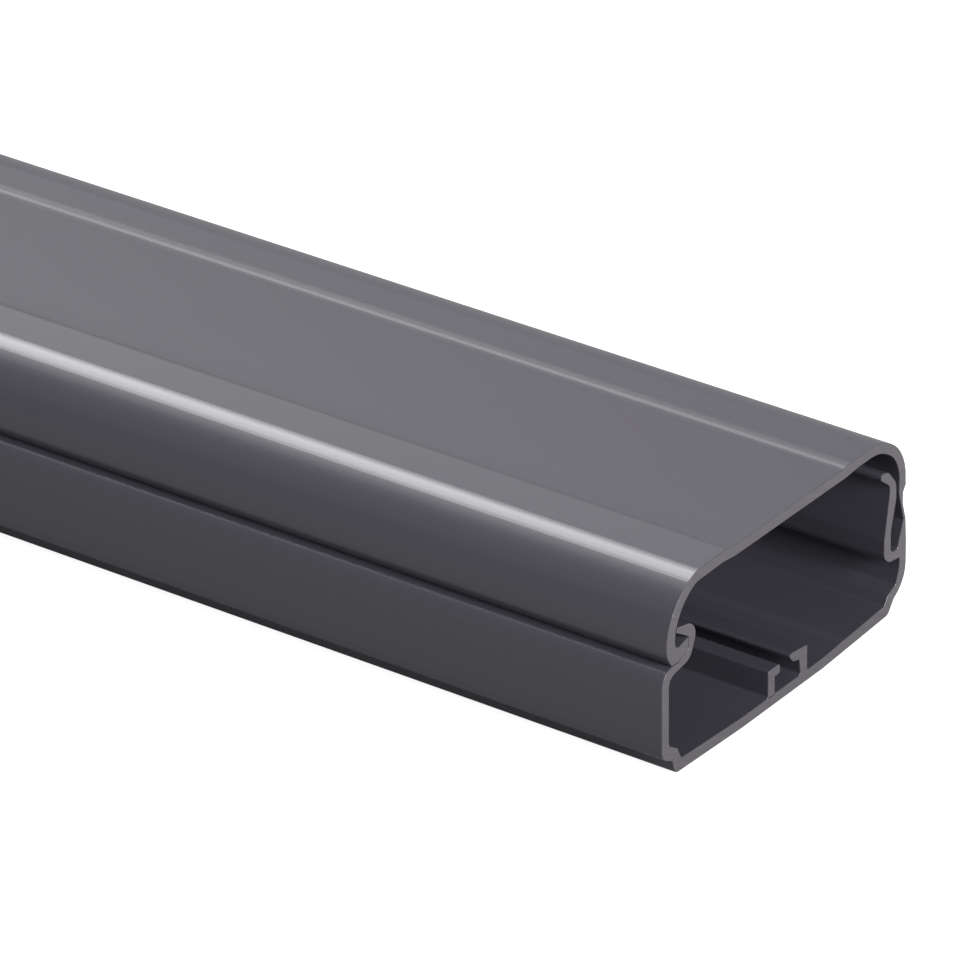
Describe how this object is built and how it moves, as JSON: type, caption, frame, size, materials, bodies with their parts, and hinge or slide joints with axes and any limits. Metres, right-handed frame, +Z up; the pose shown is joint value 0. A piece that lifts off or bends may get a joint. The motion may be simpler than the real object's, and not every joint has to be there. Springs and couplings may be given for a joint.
{
  "type": "cord cover raceway",
  "caption": "One-piece plastic cord cover raceway with a hinged snap-shut cover, an open cable channel and a T-slot rail on its floor.",
  "frame": {"origin": "under the middle of the length and width, on the flat strip of the underside", "axes": "+X along the extruded length, +Y across the width from the latch side to the hinge side, +Z up from the wall face to the cover"},
  "size_m": [0.4, 0.05, 0.025],
  "materials": {
    "pvc": "satin extruded PVC, dark grey"
  },
  "bodies": {
    "root": {"raceway_extrusion": "pvc"}
  },
  "joints": []
}
